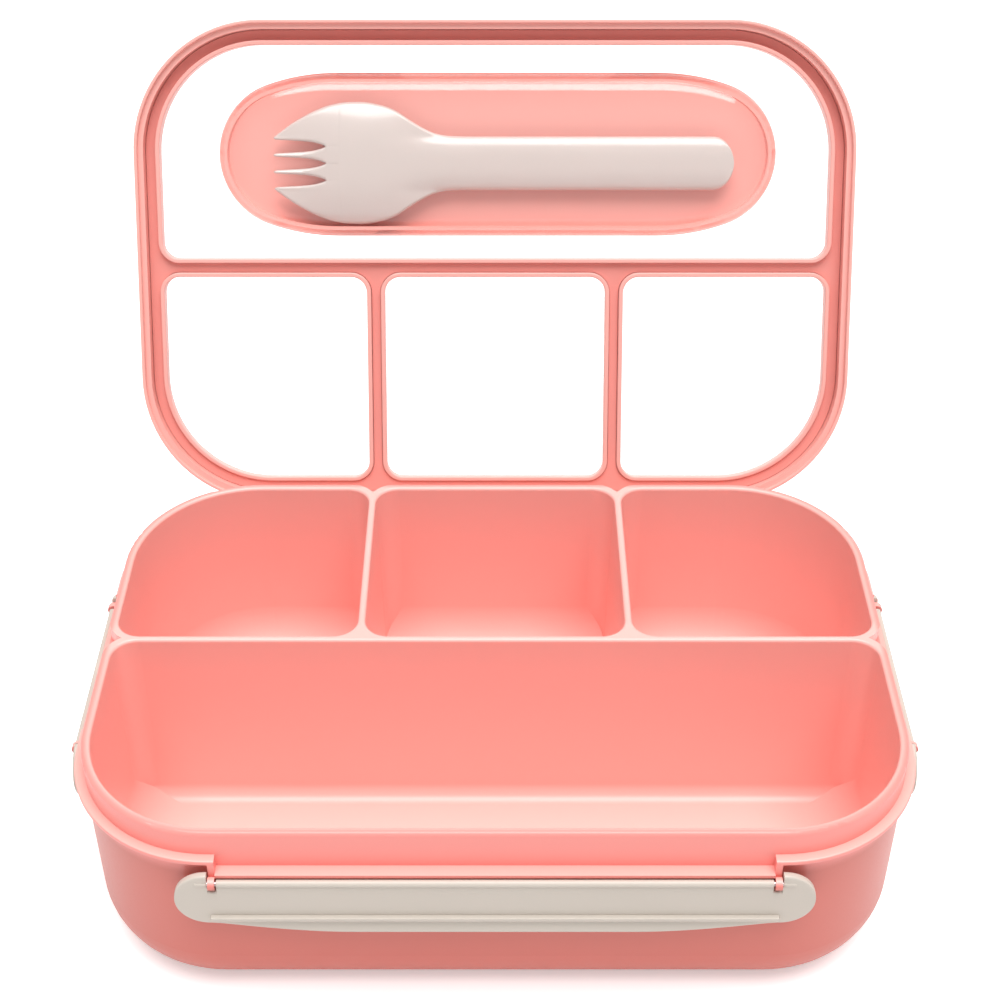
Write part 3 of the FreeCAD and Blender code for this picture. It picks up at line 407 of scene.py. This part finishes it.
def latchTubes(sizes):  # local millimetres: s along the latch, o outward from its pins, h up from its pins
    plate = {"gap": 0.3, "lug": 1.6, "bend": 7.9, "earTop": 2.8, "hingeTop": 0.3, "notchTop": -2.6,
             "foot": -13.9, "lipPast": 1.0, "middle": -0.5, "halfThick": 1.0, "edge": 0.6, "edgeShare": 0.45,
             "flare": 1.1, "flareFrom": -13.4, "flareRun": 3.0, "step": 0.001, "earTip": 0.02}
    bars = {"barrel": 0.9, "barrelAt": (0.1, 0.15), "stub": 0.8, "stubRun": 3.0, "endTaper": 0.15,
            "endShare": 0.8}
    end, lug, bend = sizes["half"], sizes["span"] / 2, plate["bend"]
    notchIn, notchOut = lug - plate["gap"], lug + plate["lug"] + plate["gap"]
    ears = end - bend * (1 - np.sin(np.linspace(0.0, math.pi / 2, 28)))
    ears[-1] -= plate["earTip"]
    notch = [notchIn + plate["step"], notchOut - plate["step"], notchOut]
    straight = np.linspace(notchOut, end - bend, 6)[1:-1]
    half = np.concatenate([np.linspace(0.0, notchIn, 90), notch, straight, ears])
    s = np.concatenate([-half[::-1], half[1:]])
    reach = np.abs(s)
    corner = np.clip(reach - (end - bend), 0.0, bend)
    drop = bend - np.sqrt(bend ** 2 - corner ** 2)  # the ears end in half rounds
    lipShare = np.clip((lug + plate["lipPast"] - reach) / sizes["lipRun"], 0.0, 1.0)
    lipShare = lipShare * (2.0 - lipShare)  # the finger lip: straight in its middle, parabolas to its ends
    top = np.where(reach < notchOut, plate["notchTop"], plate["earTop"] - drop)
    top = np.where(reach <= notchIn, plate["hingeTop"], top)
    bottom = plate["foot"] + drop - sizes["lip"] * lipShare
    top, bottom = top[:, None], bottom[:, None]
    edge = np.minimum(plate["edge"], plate["edgeShare"] * (top - bottom))
    nearEdge = np.array([0.0, 0.1, 0.25, 0.5, 1.0])
    between = np.array([0.2, 0.4, 0.6, 0.72, 0.78, 0.82, 0.86, 0.9, 0.95])  # closer rows towards the lip
    upper, lower = top - edge, bottom + edge
    h = np.concatenate([top - edge * nearEdge, upper + (lower - upper) * between,
                        bottom + edge * nearEdge[::-1]], axis=1)
    inset = np.clip(edge - np.minimum(top - h, h - bottom), 0.0, edge)
    thick = plate["halfThick"] - edge + np.sqrt(edge ** 2 - inset ** 2)  # the edges are quarter rounds
    lean = plate["flare"] * np.clip((plate["flareFrom"] - h) / plate["flareRun"], 0.0, 1.0)
    middle = lean * lipShare[:, None] + plate["middle"]  # the lip leans outward
    o = np.concatenate([middle + thick, (middle - thick)[:, ::-1]], axis=1)
    h = np.concatenate([h, h[:, ::-1]], axis=1)
    tubes = [np.stack([np.broadcast_to(s[:, None], h.shape), o, h], axis=-1)]

    def bar(start, stop, section):  # a straight bar with a closed section of (o, h), smaller at its ends
        rows = np.array([start, start + bars["endTaper"], stop - bars["endTaper"], stop])
        shrink = np.array([bars["endShare"], 1.0, 1.0, bars["endShare"]])
        middle = section.mean(axis=0)
        loops = middle + (section - middle) * shrink[:, None, None]
        return np.concatenate([np.broadcast_to(rows[:, None, None], loops.shape[:2] + (1,)), loops], axis=-1)

    turn = np.arange(24) / 24 * 2 * math.pi
    ring = np.stack([np.cos(turn), -np.sin(turn)], axis=1)
    tubes.append(bar(-notchIn, notchIn, ring * bars["barrel"] + np.array(bars["barrelAt"])))
    for stub in (-notchOut - bars["stubRun"], notchOut):
        tubes.append(bar(stub, stub + bars["stubRun"], ring * bars["stub"]))
    out = plate["middle"] + plate["halfThick"] + sizes["rib"]  # the hook rib: a ledge above, a slope below
    hook = np.array([[0.2, -10.75], [out - 0.3, -10.75], [out - 0.05, -10.85], [out, -11.2],
                     [out - 0.05, -11.6], [0.75, -12.9], [0.55, -13.15], [0.2, -13.2]])
    tubes.append(bar(-notchOut, notchOut, hook))
    return tubes


def addLatch(name, sizes):
    local, faces = joinTubes(latchTubes(sizes), True)
    local = local / 1000.0
    outX, outY = sizes["outward"]  # turned about the upright so that o points outward
    place = np.stack([outX * local[:, 1] + outY * local[:, 0], outY * local[:, 1] - outX * local[:, 0],
                      local[:, 2]], axis=1) + np.array(sizes["pivot"])
    piece = addPiece(name + "Moulded", place, faces)
    creases = piece.modifiers.new("creases", "EDGE_SPLIT")
    creases.split_angle = math.radians(40)
    piece.data.materials.append(materials["latch_beige"])
    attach(piece, name)
    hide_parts(name)


addLatch("front_latch", {"half": 76.5, "span": 132.8, "lip": 2.3, "lipRun": 34.0, "rib": 1.2,
                         "outward": (0, -1), "pivot": (0.0, -lidTurn["pivotY"], lidTurn["pivotZ"])})
for name, side in (("left_latch", -1), ("right_latch", 1)):
    addLatch(name, {"half": 35.0, "span": 52.8, "lip": 2.0, "lipRun": 16.0, "rib": 0.8,
                    "outward": (side, 0), "pivot": (side * 0.1069, 0.0, lidTurn["pivotZ"])})
print("latches made")


def addCamera():
    view = {"place": (0.0, -0.35523, 0.37893), "tilt": 52.54, "lens": 64.8, "sensor": 36.0, "shiftX": 0.005,
            "near": 0.01}
    camera = bpy.data.objects.new("camera", bpy.data.cameras.new("camera"))
    camera.data.lens = view["lens"]
    camera.data.sensor_width = view["sensor"]
    camera.data.shift_x = view["shiftX"]
    camera.data.clip_start = view["near"]
    camera.location = view["place"]
    camera.rotation_euler = (math.radians(view["tilt"]), 0.0, 0.0)
    scene.collection.objects.link(camera)
    scene.camera = camera


def addStage():
    stage = {"reach": 6.0, "below": 0.0002, "white": (0.93, 0.93, 0.93), "rough": 0.95, "lift": 0.4}
    corners = np.array([[-1.0, -1.0, 0.0], [1.0, -1.0, 0.0], [1.0, 1.0, 0.0], [-1.0, 1.0, 0.0]])
    corners = corners * stage["reach"] - np.array([0.0, 0.0, stage["below"]])
    floor = addPiece("floor", corners, [(0, 1, 2, 3)])
    material = bpy.data.materials.new("floorWhite")
    material.use_nodes = True
    tree = material.node_tree
    shader = tree.nodes["Principled BSDF"]
    shader.inputs["Base Color"].default_value = (*stage["white"], 1.0)
    shader.inputs["Roughness"].default_value = stage["rough"]
    shader.inputs["Specular IOR Level"].default_value = 0.0
    shader.inputs["Emission Color"].default_value = (1.0, 1.0, 1.0, 1.0)
    path = tree.nodes.new("ShaderNodeLightPath")  # seen directly, the floor's shadow stays faint
    seen = maths(tree, "MAXIMUM", path.outputs["Is Camera Ray"], path.outputs["Is Transmission Ray"])
    tree.links.new(maths(tree, "MULTIPLY", seen, stage["lift"]), shader.inputs["Emission Strength"])
    floor.data.materials.append(material)


def addLights():
    studio = {"lit": 0.36, "seen": 1.0, "sunPower": 3.4, "sunAngle": 50.0, "sunTurn": (8.0, 4.0, 0.0)}
    world = bpy.data.worlds.new("studio")
    scene.world = world
    world.use_nodes = True
    tree = world.node_tree
    background = tree.nodes["Background"]
    background.inputs["Color"].default_value = (1.0, 1.0, 1.0, 1.0)
    path = tree.nodes.new("ShaderNodeLightPath")  # a white studio to look at, a dimmer one to light by
    seen = maths(tree, "MAXIMUM", path.outputs["Is Camera Ray"], path.outputs["Is Glossy Ray"])
    seen = maths(tree, "MAXIMUM", seen, path.outputs["Is Transmission Ray"])
    tree.links.new(spread(tree, seen, studio["lit"], studio["seen"]), background.inputs["Strength"])
    light = bpy.data.lights.new("topLight", "SUN")
    light.energy = studio["sunPower"]
    light.angle = math.radians(studio["sunAngle"])
    sun = bpy.data.objects.new("topLight", light)
    sun.rotation_euler = tuple(math.radians(turn) for turn in studio["sunTurn"])
    scene.collection.objects.link(sun)


addCamera()
addStage()
addLights()
scene.view_settings.view_transform = "Standard"
print("camera, stage and lights set")
